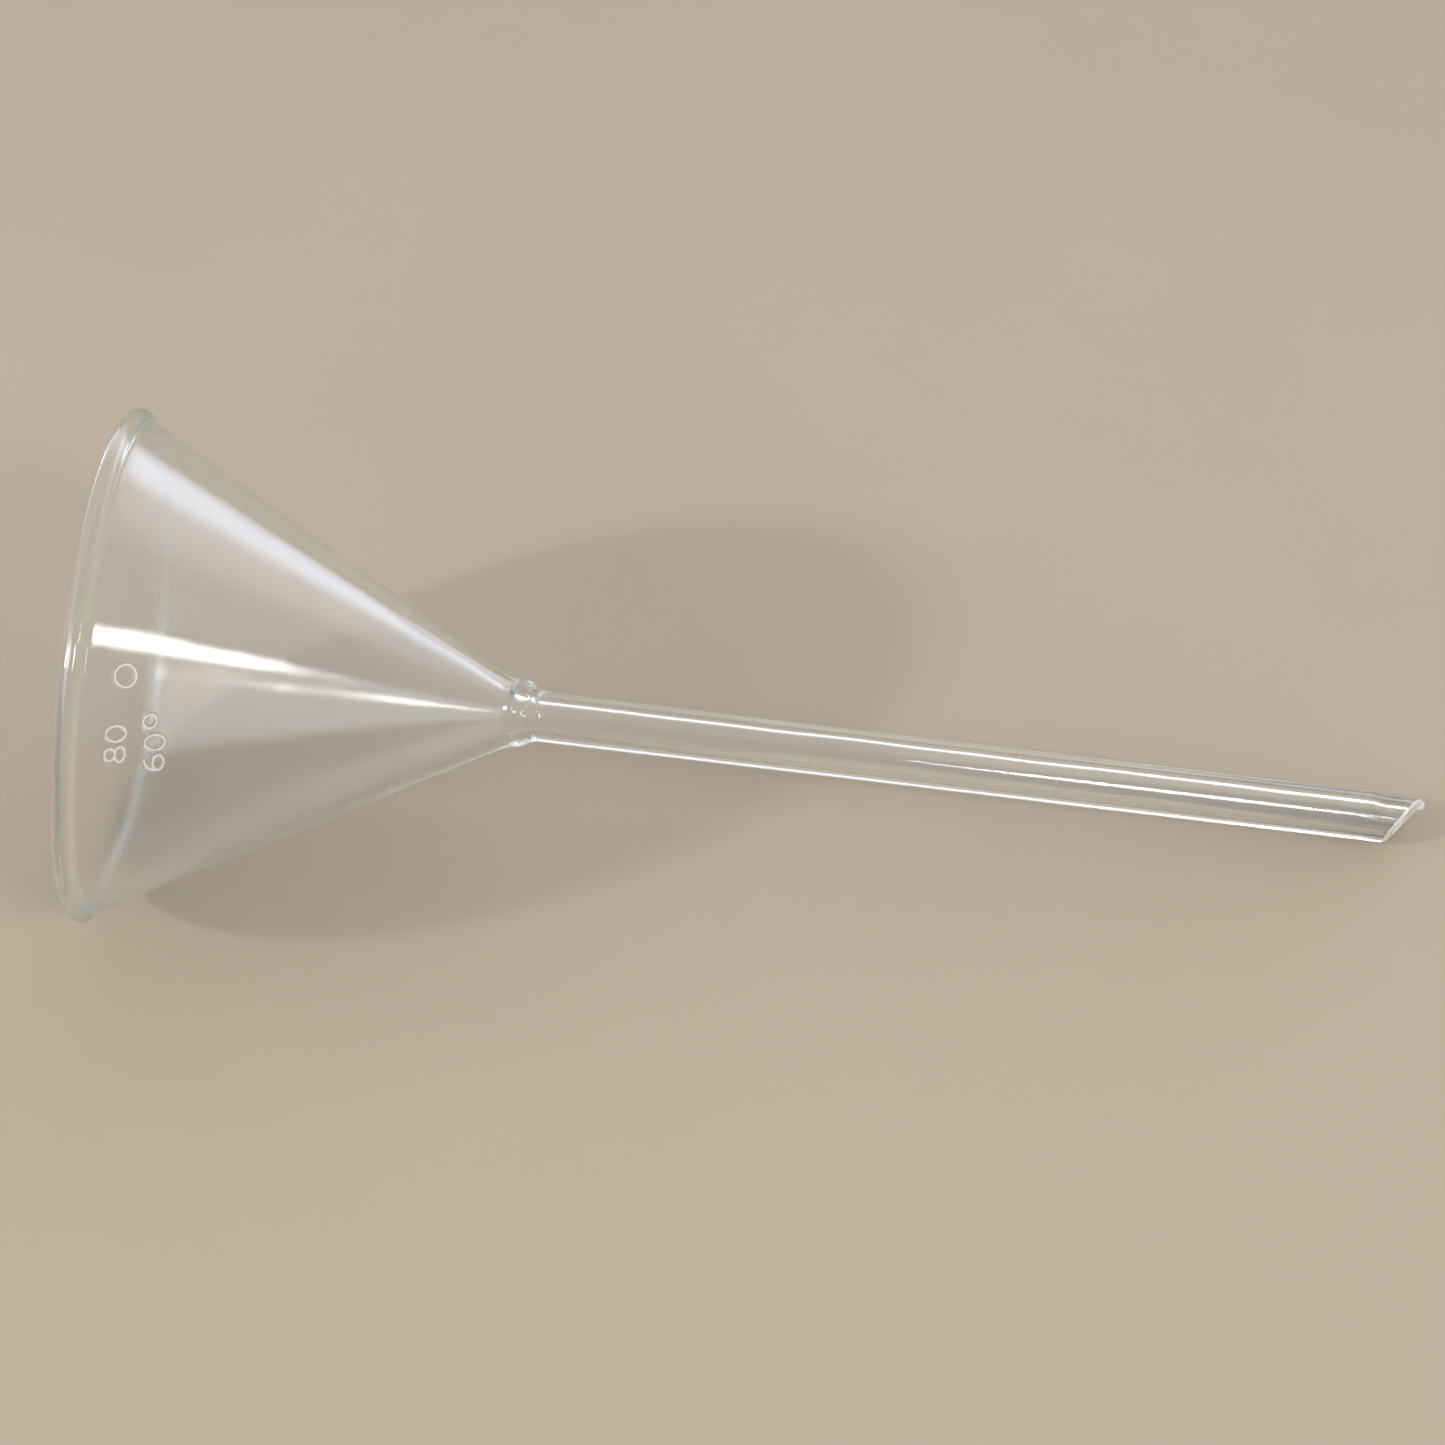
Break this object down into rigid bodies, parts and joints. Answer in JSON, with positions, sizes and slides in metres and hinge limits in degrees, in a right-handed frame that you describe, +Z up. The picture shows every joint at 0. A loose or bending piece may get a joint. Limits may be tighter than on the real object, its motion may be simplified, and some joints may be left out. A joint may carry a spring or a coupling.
{
  "type": "laboratory filter funnel",
  "caption": "Clear glass filter funnel, an open conical bowl with a rolled rim on a long straight bevel-tipped stem, lying on its side.",
  "frame": {"origin": "middle of the underside of the bounding box, on the table that the funnel lies on", "axes": "+X from the rim towards the stem's tip, in the upright plane through the funnel's own axis, which rises 10.0 degrees from the tip up to the rim; +Z up; -Y is the side with the moulded marks"},
  "size_m": [0.2136, 0.08, 0.0788],
  "materials": {
    "clear_glass": "fire polished, clear, with a faint grey green edge"
  },
  "bodies": {
    "root": {"rim_bead": "clear_glass", "bowl_cone": "clear_glass", "neck_seal": "clear_glass", "stem_tube": "clear_glass", "stem_tip": "clear_glass", "angle_mark": "clear_glass", "size_mark": "clear_glass", "ring_badge": "clear_glass"}
  },
  "joints": []
}
